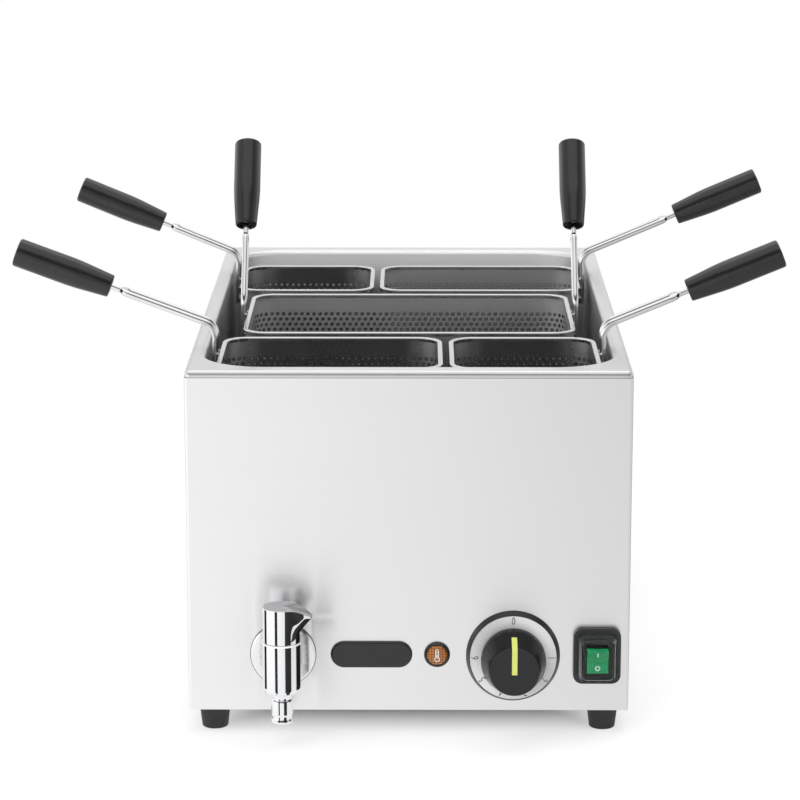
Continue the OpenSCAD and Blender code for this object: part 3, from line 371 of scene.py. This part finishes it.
for vertex in cap.data.vertices:
    x, y, z = vertex.co
    along = vertex.co.xy.length / cap_r
    turn = vertex.co.xy.angle_signed(beak_heading, 0)
    nose = exp(-((turn / beak_spread) ** 2)) * along
    above_root = max(0.0, 1 - (cap_h - z) / beak_h)
    grow = 1 + min(above_root / beak_slant, 1.0) * nose * (beak_l / cap_r - 1)
    vertex.co = (x * grow, y * grow, z - beak_droop * nose * (z / cap_h) ** 3 * along)
change(cap, "BEVEL", width=cap_round, segments=3, limit_method="ANGLE", angle_limit=radians(40))
for vertex in cap.data.vertices:
    vertex.co += Vector((tap_at.x, tap_at.y, cap_low.z))
bpy.ops.object.shade_smooth_by_angle(angle=radians(45))
settle(cap, chrome, "tap_lever", "tap_chrome", "tap_handle")


# Badge plate: a domed pill of glossy black acrylic, moulded in one piece and fixed flat on the
# panel. Its face is bare.
acrylic = mottled("badge_acrylic", 30.0, ((0.010, 0.010, 0.011), (0.016, 0.016, 0.017)),
                  (0.10, 0.16), detail=3.0)
eased("badge_plate", acrylic, edge=0.0007, steps=3)


# Pilot lamp: a black holder with a bevelled bezel, and an amber lens moulded with a fine grid and
# printed with a thermometer.
bezel_plastic = mottled("bezel_black", 300.0, ((0.010, 0.010, 0.011), (0.020, 0.020, 0.021)),
                        (0.24, 0.38), relief=0.00001)
eased("pilot_lamp", bezel_plastic, edge=0.0004, steps=3)
amber = recipe("lens_amber")
half_cell = 0.00105
columns, rows = [line.maths("PINGPONG", line, half_cell) for line in (
    amber.axis(amber.place(), 0), amber.axis(amber.place(), 2))]
cells = (columns.maths("MAXIMUM", columns, rows) / half_cell) ** 3.0
lens_plastic = amber.cover({
    "Base Color": amber.tint(cells, (0.46, 0.155, 0.012), (0.03, 0.008, 0.002)),
    "Roughness": cells * 0.15 + 0.12, "Coat Weight": 0.5,
}, relief=cells, depth=0.00012)
eased("lamp_lens", lens_plastic, steps=3)
lens_low, lens_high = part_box("lamp_lens")
lens_at = (lens_low + lens_high) / 2
sign_y, sign_t = lens_low.y + 0.0003, 0.0007
bulb_r, bulb_line, bulb_z = 0.0019, 0.00072, -0.0026
head_r, head_line, head_z = 0.0010, 0.00064, 0.0040
side_w, side_h, side_z = 0.0006, 0.0050, 0.0015
column_w, column_h, column_z = 0.0005, 0.0040, -0.0005
sign = ring("lamp_sign", bulb_r, bulb_line, 1, (lens_at.x, sign_y, lens_at.z + bulb_z),
            facing_out, (32, 8))
strokes = [ring("lamp_sign_head", head_r, head_line, 1, (lens_at.x, sign_y, lens_at.z + head_z),
                facing_out, (24, 8))]
for x, z, w, h in ((-head_r, side_z, side_w, side_h), (head_r, side_z, side_w, side_h),
                   (0, column_z, column_w, column_h)):
    bpy.ops.mesh.primitive_cube_add(size=1, location=(lens_at.x + x, sign_y, lens_at.z + z))
    strokes.append(bpy.context.object)
    strokes[-1].scale = (w, sign_t, h)
only(sign)
for stroke in strokes:
    stroke.select_set(True)
bpy.ops.object.transform_apply()
bpy.ops.object.join()
white_print = mottled("white_print", 700.0, ((0.74, 0.73, 0.70), (0.84, 0.83, 0.80)), (0.4, 0.5))
settle(sign, white_print, "cooker", "lens_amber")


# Thermostat dial: a black ring on the panel carries a brushed scale ring with dark printed
# numbers, and its colour has a painted reflection of bright and dark sectors. The knob is
# moulded, dull on its face and polished round its skirt, with a bright pointer.
eased("dial_ring", bezel_plastic, edge=0.0005, steps=3)
spun = recipe("spun_scale")
dial_low, dial_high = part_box("dial_scale")
dial_at = (dial_low + dial_high) / 2
centred = spun.node("ShaderNodeMapping", {}, {"Vector": spun.place(), "Location": -dial_at})
radius = spun.node("ShaderNodeVectorMath", {"operation": "LENGTH"}, {0: centred}, "Value")
rings = spun.node("ShaderNodeTexNoise", {"noise_dimensions": "1D"}, {
    "W": radius, "Scale": 2600.0, "Detail": 2.0})
dial_x, dial_z = spun.axis(centred, 0), spun.axis(centred, 2)
angle = dial_x.maths("ARCTAN2", dial_x, dial_z)
# Painted reflection: bright and dark sectors round the ring, as circular brushing would reflect
# the room.
painted_sheen = angle.maths("SINE", angle * 2.0 + 0.5) * 0.5 + 0.5
scale_metal = spun.cover({
    "Base Color": spun.tint(
        painted_sheen * 0.75 + rings * 0.25, (0.56, 0.562, 0.565), (0.88, 0.882, 0.885)),
    "Metallic": 0.15, "Roughness": rings * 0.2 + 0.20,
}, relief=rings, depth=0.00001)
eased("dial_scale", scale_metal, edge=0.00015)
black_ink = mottled("dial_ink", 900.0, ((0.035, 0.035, 0.037), (0.075, 0.075, 0.078)),
                    (0.45, 0.55))
number_h, number_t, number_r, number_narrow = 0.0084, 0.00005, 0.0292, 0.70
first_step, later_step = 90, 36
for number in range(7):
    only()
    bpy.ops.object.text_add()
    numeral = bpy.context.object
    numeral.data.body = str(number)
    numeral.data.size, numeral.data.extrude = number_h, number_t
    numeral.data.align_x, numeral.data.align_y = "CENTER", "CENTER"
    bpy.ops.object.convert(target="MESH")
    numeral.name = "dial_number_%d" % number
    heading = radians(first_step + later_step * (number - 1)) if number else 0.0
    numeral.data.transform(
        Matrix.Translation((dial_at.x, dial_low.y, dial_at.z)) @ Matrix.Rotation(pi / 2, 4, "X")
        @ Matrix.Rotation(-heading, 4, "Z") @ Matrix.Translation((0, number_r, 0))
        @ Matrix.Diagonal((number_narrow, 1, 1, 1)))
    settle(numeral, black_ink, "cooker", "scale_metal")
bakelite = recipe("knob_moulding")
face_depth = 0.0012
face = bakelite.axis(bakelite.place(), 1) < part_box("knob")[0].y + face_depth
pores = bakelite.grain(500.0, detail=3.0)
knob_plastic = bakelite.cover({
    "Base Color": bakelite.tint(
        face * 0.7 + pores * 0.3, (0.010, 0.010, 0.011), (0.034, 0.034, 0.035)),
    "Roughness": face * 0.30 + pores * 0.08 + 0.14, "Specular IOR Level": 0.06,
}, relief=pores, depth=0.000015)
eased("knob", knob_plastic, edge=0.0007, steps=3)
enamel = mottled("pointer_enamel", 400.0, ((0.56, 0.60, 0.10), (0.68, 0.70, 0.20)), (0.35, 0.50))
eased("knob_pointer", enamel)


# Switch: a black housing in the panel, a green lit rocker marked I and O, and a clear splash dome
# pressed over it.
eased("switch_housing", bezel_plastic, edge=0.0007, steps=3)
lit_green = mottled("rocker_green", 120.0, ((0.002, 0.25, 0.085), (0.006, 0.34, 0.125)),
                    (0.22, 0.32), {"Coat Weight": 0.3})
eased("rocker", lit_green, edge=0.0005, steps=3)
rocker_low, rocker_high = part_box("rocker")
pivot_out, pivot_z, rest_tilt = 0.007, 0.065, radians(10)
pivot = Vector(((rocker_low.x + rocker_high.x) / 2, panel_face - pivot_out, pivot_z))
mark_up, mark_out, upper_tip, lower_tip = 0.0056, 0.0076, radians(24), radians(-4)
bar_size, bar_round = (0.0010, 0.0038, 0.0002), 0.00008
loop_r, loop_line, loop_flat = 0.0016, 0.0008, 0.3


def on_rocker(mark, up, tip):
    """Lays a mark on the upper or lower half of the rocker, which slopes by tip."""
    mark.data.transform(
        Matrix.Translation(pivot) @ Matrix.Rotation(pi / 2 + rest_tilt, 4, "X")
        @ Matrix.Translation((0, up, mark_out)) @ Matrix.Rotation(tip - rest_tilt, 4, "X"))
    settle(mark, white_print, "switch_rocker", "rocker_green")


only()
bpy.ops.mesh.primitive_cube_add(size=1)
bar = bpy.context.object
bar.name = "rocker_mark_on"
bar.scale = bar_size
bpy.ops.object.transform_apply()
change(bar, "BEVEL", width=bar_round, segments=2)
on_rocker(bar, mark_up, upper_tip)
loop = ring("rocker_mark_off", loop_r, loop_line, loop_flat, steps=(32, 8))
on_rocker(loop, -mark_up, lower_tip)
clear_plastic = mottled("splash_dome", 70.0, ((0.80, 0.86, 0.83), (0.88, 0.93, 0.90)),
                        (0.03, 0.08), {"Transmission Weight": 1.0, "IOR": 1.18})
dome = eased("switch_dome", clear_plastic, edge=0.0005, steps=3)
dome.visible_shadow = False


# Supply entry at the back: a cable gland and its locknut, both moulded in black nylon. The gland
# goes through the rear panel, and the nut holds it from inside.
gland_plastic = mottled("gland_nylon", 200.0, ((0.030, 0.031, 0.033), (0.055, 0.056, 0.058)),
                        (0.35, 0.50), relief=0.00002)
eased("cable_gland", gland_plastic, edge=0.0005, steps=3)
eased("gland_nut", gland_plastic, edge=0.0004)


# Baskets: walls and bottoms of 0.8 mm punched stainless sheet, the wall rolled round and welded
# to a folded rim, with a plain band above the holes and another below them.
def punched_sheet(name, dullness):
    """Steel of one basket: painted shade round its holes, and duller the more it has been
    scrubbed.
    """
    sheet = recipe(name + "_punched_sheet")
    lines, clouds = ground_lines(sheet, 500), sheet.grain(14.0)
    # Painted shade: the colour goes dark round each hole's edge, so the holes read as dark spots.
    painted_hole_shade = sheet.node("ShaderNodeAttribute", {"attribute_name": "punched"}, {}, "Fac") ** 4.0
    bend = sheet.node("ShaderNodeAttribute", {"attribute_name": "bent"}, {}, "Fac")
    tone = sheet.tint(lines * 0.5 + clouds * 0.5, (0.60, 0.602, 0.605), (0.76, 0.762, 0.765))
    return sheet.cover({
        "Base Color": sheet.mix(painted_hole_shade, tone, (0.05, 0.05, 0.052, 1)),
        "Metallic": 0.97, "Roughness": lines * 0.06 + clouds * 0.06 + bend * 0.36 + dullness,
    }, relief=lines, depth=0.000006)


hole_d, hole_pitch, hole_row, sheet_t = 0.0026, 0.00524, 0.00454, 0.0008
plain_band, foot_band, floor_margin = 0.012, 0.010, 0.012
wall_corner, floor_corner, bend_reach = 0.018, 0.0172, 0.026
same_point, same_seam, row_slack, sheet_crease = 1e-6, 1e-5, 0.001, radians(35)


def punched_strip(columns, rows, pitch):
    """Flat sheet in the XZ plane with staggered holes: one cell round its hole, repeated."""
    only()
    bpy.ops.mesh.primitive_circle_add(vertices=6, radius=hole_d / 2, rotation=facing_out)
    strip = bpy.context.object
    bpy.ops.object.transform_apply()
    bpy.ops.object.mode_set(mode="EDIT")
    bpy.ops.mesh.select_all(action="SELECT")
    bpy.ops.mesh.extrude_edges_move()
    bpy.ops.object.mode_set(mode="OBJECT")
    # Marks each hole's edge, where the basket steel gets its painted shade.
    punched = strip.data.attributes.new("punched", "FLOAT", "POINT")
    for corner, mark in zip(strip.data.vertices, punched.data):
        mark.value = 0.0 if corner.select else 1.0
        if corner.select:
            x, z = corner.co.x, corner.co.z
            corner.co.x = copysign(pitch / 2, x) if abs(x) > hole_d / 8 else 0.0
            corner.co.z = copysign(hole_row / 2, z)
    for count, step in ((columns, (pitch, 0, 0)), (2, (pitch / 2, 0, hole_row)),
                        (rows // 2, (0, 0, 2 * hole_row))):
        change(strip, "ARRAY", count=count, use_relative_offset=False, use_constant_offset=True,
               constant_offset_displace=step)
    bpy.ops.object.mode_set(mode="EDIT")
    bpy.ops.mesh.select_all(action="SELECT")
    bpy.ops.mesh.remove_doubles(threshold=same_seam)
    bpy.ops.object.mode_set(mode="OBJECT")
    return strip


def drawn_out(strip, at, lift):
    """Carries the strip's edge at a height on as plain sheet."""
    for group in (strip.data.polygons, strip.data.edges):
        for part in group:
            part.select = False
    for vertex in strip.data.vertices:
        vertex.select = abs(vertex.co.z - at) < same_seam
    bpy.ops.object.mode_set(mode="EDIT")
    bpy.ops.mesh.select_mode(type="VERT")
    bpy.ops.mesh.extrude_edges_move(TRANSFORM_OT_translate={"value": (0, 0, lift)})
    bpy.ops.object.mode_set(mode="OBJECT")


def on_outline(s, w, d, r):
    """The point at a distance along a round-cornered w x d rectangle, from its front left."""
    for run, x, y, ux, uy in (
            (w - 2 * r, r - w / 2, -d / 2, 1, 0), (d - 2 * r, w / 2, r - d / 2, 0, 1),
            (w - 2 * r, w / 2 - r, d / 2, -1, 0), (d - 2 * r, -w / 2, d / 2 - r, 0, -1)):
        if s <= run:
            return x + s * ux, y + s * uy
        s -= run
        if s <= pi * r / 2:
            bend, rise = r * sin(s / r), r * (1 - cos(s / r))
            return x + (run + bend) * ux - rise * uy, y + (run + bend) * uy + rise * ux
        s -= pi * r / 2
    return r - w / 2, -d / 2


def basket_wall(name, steel):
    """A punched strip between two plain bands, rolled round the basket and closed."""
    low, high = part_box(name + "_wall")
    at, r = (low + high) / 2, wall_corner
    w, d = high.x - low.x - sheet_t, high.y - low.y - sheet_t
    runs, quarter = (w - 2 * r, d - 2 * r) * 2, pi * r / 2
    length = sum(runs) + 4 * quarter
    columns = round(length / hole_pitch)
    rows = 2 * int((high.z - low.z - plain_band - foot_band) / (2 * hole_row))
    wall = punched_strip(columns, rows, length / columns)
    wall.name = name + "_punched_wall"
    foot = high.z - plain_band - (rows - 0.5) * hole_row
    drawn_out(wall, (rows - 0.5) * hole_row, plain_band)
    drawn_out(wall, -hole_row / 2, low.z - (foot - hole_row / 2))
    bends = [sum(runs[:turn]) + (turn - 0.5) * quarter for turn in (1, 2, 3, 4)]
    bent = wall.data.attributes.new("bent", "FLOAT", "POINT")
    for vertex, mark in zip(wall.data.vertices, bent.data):
        s = vertex.co.x % length
        x, y = on_outline(s, w, d, r)
        vertex.co = (at.x + x, at.y + y, foot + vertex.co.z)
        away = min(abs((s - turn + length / 2) % length - length / 2) for turn in bends)
        height = (vertex.co.z - low.z) / (high.z - low.z)
        mark.value = max(0.0, 1 - away / bend_reach) * height
    bpy.ops.object.mode_set(mode="EDIT")
    bpy.ops.mesh.select_all(action="SELECT")
    bpy.ops.mesh.remove_doubles(threshold=same_seam)
    bpy.ops.mesh.normals_make_consistent(inside=False)
    bpy.ops.object.mode_set(mode="OBJECT")
    change(wall, "SOLIDIFY", thickness=sheet_t, offset=0)
    bpy.ops.object.shade_smooth_by_angle(angle=sheet_crease)
    return settle(wall, steel, name + "_basket", "basket_steel", name + "_wall")


def basket_bottom(name, steel):
    """A punched field with a plain margin of sheet filled in round it, laid flat."""
    low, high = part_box(name + "_bottom")
    at = (low + high) / 2
    w, d = high.x - low.x, high.y - low.y
    columns = int((w - floor_margin) / hole_pitch - 0.5)
    rows = 2 * int((d - floor_margin) / (2 * hole_row))
    field_x, field_z = (columns - 0.5) * hole_pitch / 2, (rows - 1) * hole_row / 2
    field = punched_strip(columns, rows, hole_pitch)
    field.name = name + "_punched_bottom"
    faces = [0] * len(field.data.edges)
    for loop in field.data.loops:
        faces[loop.edge_index] += 1
    on_row = [abs(vertex.co.z / hole_row % 1 - 0.5) < row_slack for vertex in field.data.vertices]
    border = [faces[edge.index] == 1 and all(on_row[end] for end in edge.vertices)
              for edge in field.data.edges]
    only()
    bpy.ops.mesh.primitive_plane_add(size=1, rotation=facing_out)
    margin = bpy.context.object
    margin.scale, margin.location = (w, d, 1), (field_x, 0, field_z)
    bpy.ops.object.transform_apply()
    bpy.ops.object.mode_set(mode="EDIT")
    bpy.ops.mesh.select_all(action="SELECT")
    bpy.ops.mesh.bevel(offset=floor_corner, segments=10, affect="VERTICES")
    bpy.ops.mesh.select_all(action="SELECT")
    bpy.ops.mesh.delete(type="ONLY_FACE")
    bpy.ops.object.mode_set(mode="OBJECT")
    for group in (field.data.polygons, field.data.edges, field.data.vertices):
        for part in group:
            part.select = False
    for edge, chosen in zip(field.data.edges, border):
        edge.select = chosen
    for edge in margin.data.edges:
        edge.select = True
    only(field)
    margin.select_set(True)
    bpy.ops.object.join()
    bpy.ops.object.mode_set(mode="EDIT")
    bpy.ops.mesh.select_mode(type="EDGE")
    bpy.ops.mesh.fill()
    bpy.ops.mesh.select_all(action="SELECT")
    bpy.ops.mesh.remove_doubles(threshold=same_point)
    bpy.ops.mesh.normals_make_consistent(inside=False)
    bpy.ops.object.mode_set(mode="OBJECT")
    change(field, "SOLIDIFY", thickness=sheet_t, offset=0)
    for vertex in field.data.vertices:
        x, y, z = vertex.co
        vertex.co = (at.x + x - field_x, at.y + z - field_z, at.z - y)
    bpy.ops.object.shade_smooth_by_angle(angle=sheet_crease)
    return settle(field, steel, name + "_basket", "basket_steel", name + "_bottom")


rim_steel = mottled("rim_polish", 26.0, ((0.60, 0.605, 0.61), (0.76, 0.765, 0.77)), (0.12, 0.24),
                    metal, relief=0.00002, detail=4.0)
dullness_of = {
    "front_left": 0.05, "front_right": 0.04, "middle": 0.34, "back_left": 0.05, "back_right": 0.33}
for name, dullness in dullness_of.items():
    eased(name + "_rim", rim_steel, edge=0, crease=50)
    steel = punched_sheet(name, dullness)
    basket_wall(name, steel)
    basket_bottom(name, steel)


# Handles: a hairpin of bent rod welded to the end of each basket carries a thin tang on its bow,
# and a black phenolic grip is pushed on the tang.
rod_steel = mottled("polished_rod", 30.0, ((0.70, 0.705, 0.71), (0.86, 0.865, 0.87)), (0.12, 0.22),
                    metal, detail=4.0)
grip_plastic = mottled("grip_phenolic", 60.0, ((0.009, 0.009, 0.010), (0.016, 0.016, 0.017)),
                       (0.14, 0.20), relief=0.000004, detail=4.0)
for name in dullness_of:
    eased(name + "_rods", rod_steel, edge=0, crease=45)
    eased(name + ("_grips" if name == "middle" else "_grip"), grip_plastic, edge=0.0006, steps=3)


# Studio: a pale floor that fades to white and an even white room. Polished metal sees the room as
# a photographer lights it: bright overhead and behind, dark behind the camera, with black cards
# by the tap.
room = Recipe(bpy.data.worlds.new("studio"))
bpy.context.scene.world = room.owner
towards = room.node("ShaderNodeTexCoord", out="Generated")
aside, ahead, above = [room.axis(towards, number) for number in range(3)]
behind = ramp(ahead, 0.1, 0.6)
overhead = ramp(above, 0.66, 0.82)
horizon = ramp(above, 0.42, 0.20) * ramp(ahead, 0.2, -0.2) * ramp(aside, -0.40, 0.40, 1.1, 0.50)
left_box = ramp(aside, -0.55, -0.80)
right_box = ramp(aside, 0.70, 0.90)
seen_by_metal = (0.08 + behind * 0.80 + overhead * 0.95 + horizon * 0.9 + left_box * 0.6
                 + right_box * 0.4)
room_level, white = 0.75, (1, 1, 1, 1)
camera_ray = room.node("ShaderNodeLightPath", out="Is Camera Ray")
glossy_ray = room.node("ShaderNodeLightPath", out="Is Glossy Ray")
level = room_level + camera_ray * (1 - room_level) + glossy_ray * (seen_by_metal - room_level)
light = room.node("ShaderNodeBackground", {}, {0: white, 1: level})
room.node("ShaderNodeOutputWorld", {}, {0: light})

only()
bpy.ops.object.light_add(type="AREA", location=(-0.9, -1.3, 1.9),
                         rotation=(radians(38), 0, radians(-34)))
lamp = bpy.context.object
lamp.data.energy, lamp.data.size = 26, 1.6
bpy.ops.object.light_add(type="AREA", location=(0.2, 0.1, 1.6))
top = bpy.context.object
top.data.energy, top.data.size = 16, 1.0
lamp.visible_glossy = top.visible_glossy = False

bpy.ops.mesh.primitive_plane_add(size=14, location=(0, 0, 0))
floor = bpy.context.object
floor.name = "studio_floor"
paper = recipe("studio_paper")
spread = paper.node("ShaderNodeVectorMath", {"operation": "LENGTH"}, {0: paper.place()}, "Value")
near = ramp(spread, 0.32, 0.80, 1.0, 0.0)
in_camera, in_metal, in_glass, bounces = [paper.node("ShaderNodeLightPath", out=ray) for ray in (
    "Is Camera Ray", "Is Glossy Ray", "Is Transmission Ray", "Diffuse Depth")]
in_mirrors = (in_metal + in_glass) * (bounces < 0.5)
sheet_x, sheet_y = paper.axis(paper.place(), 0), paper.axis(paper.place(), 1)
from_ends = sheet_x.maths("MINIMUM", sheet_y - panel_face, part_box("rear_panel")[1].y - sheet_y)
under = sheet_x.maths("MINIMUM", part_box("side_panels")[1].x - abs(sheet_x), from_ends)
bright = in_mirrors + in_camera * (ramp(under, 0.0, 0.075, 1.0, 0.0) * (1 - near * 0.35))
mirrored = ramp(sheet_x, -0.45, 0.45, 0.12, -0.27) - ramp(sheet_y, -0.30, -0.10, 0.0, 0.28)
matt_paper = paper.node("ShaderNodeBsdfDiffuse", {}, {0: (0.92, 0.92, 0.92, 1)})
glowing = paper.node("ShaderNodeEmission", {}, {0: white, 1: 1 + in_mirrors * mirrored})
paper.node("ShaderNodeOutputMaterial", {}, {0: paper.node(
    "ShaderNodeMixShader", {}, {0: bright, 1: matt_paper, 2: glowing})})
floor.data.materials.append(paper.owner)

dark = recipe("dark_card")
card_black = dark.cover({
    "Base Color": dark.tint(dark.grain(40.0), (0.008, 0.008, 0.008), (0.02, 0.02, 0.02)),
    "Roughness": 0.9,
})
upright = (pi / 2, 0, pi / 2)
for name, size, place, turn in (
        ("card_right", (0.042, 0.100), (0.024, -0.0415, 0.058), upright),
        ("card_edge", (0.025, 0.050), (0.021, 0.0055, 0.068), upright),
        ("card_left", (0.0265, 0.100), (-0.022, -0.0488, 0.058), upright),
        ("card_rim", (0.0065, 0.063), (-0.022, -0.004, 0.0765), upright),
        ("card_beak", (0.016, 0.036), (0.030, -0.004, 0.086), (radians(16), 0, 0))):
    only()
    bpy.ops.mesh.primitive_plane_add(size=1, rotation=turn)
    card = bpy.context.object
    card.name = name
    card.scale = (*size, 1)
    card.location = (tap_at.x + place[0], tap_at.y + place[1], place[2])
    card.data.materials.append(card_black)
    card.visible_camera = card.visible_diffuse = card.visible_shadow = False

view = bpy.data.cameras.new("photo_camera")
view.lens, view.sensor_width = 136.52, 36
camera = bpy.data.objects.new("photo_camera", view)
bpy.context.scene.collection.objects.link(camera)
camera.location = (0.005959, -2.492738, 0.777561)
camera.rotation_euler = (radians(77.1042), 0, radians(0.3207))
bpy.context.scene.camera = camera
bpy.context.scene.view_settings.view_transform = "Standard"
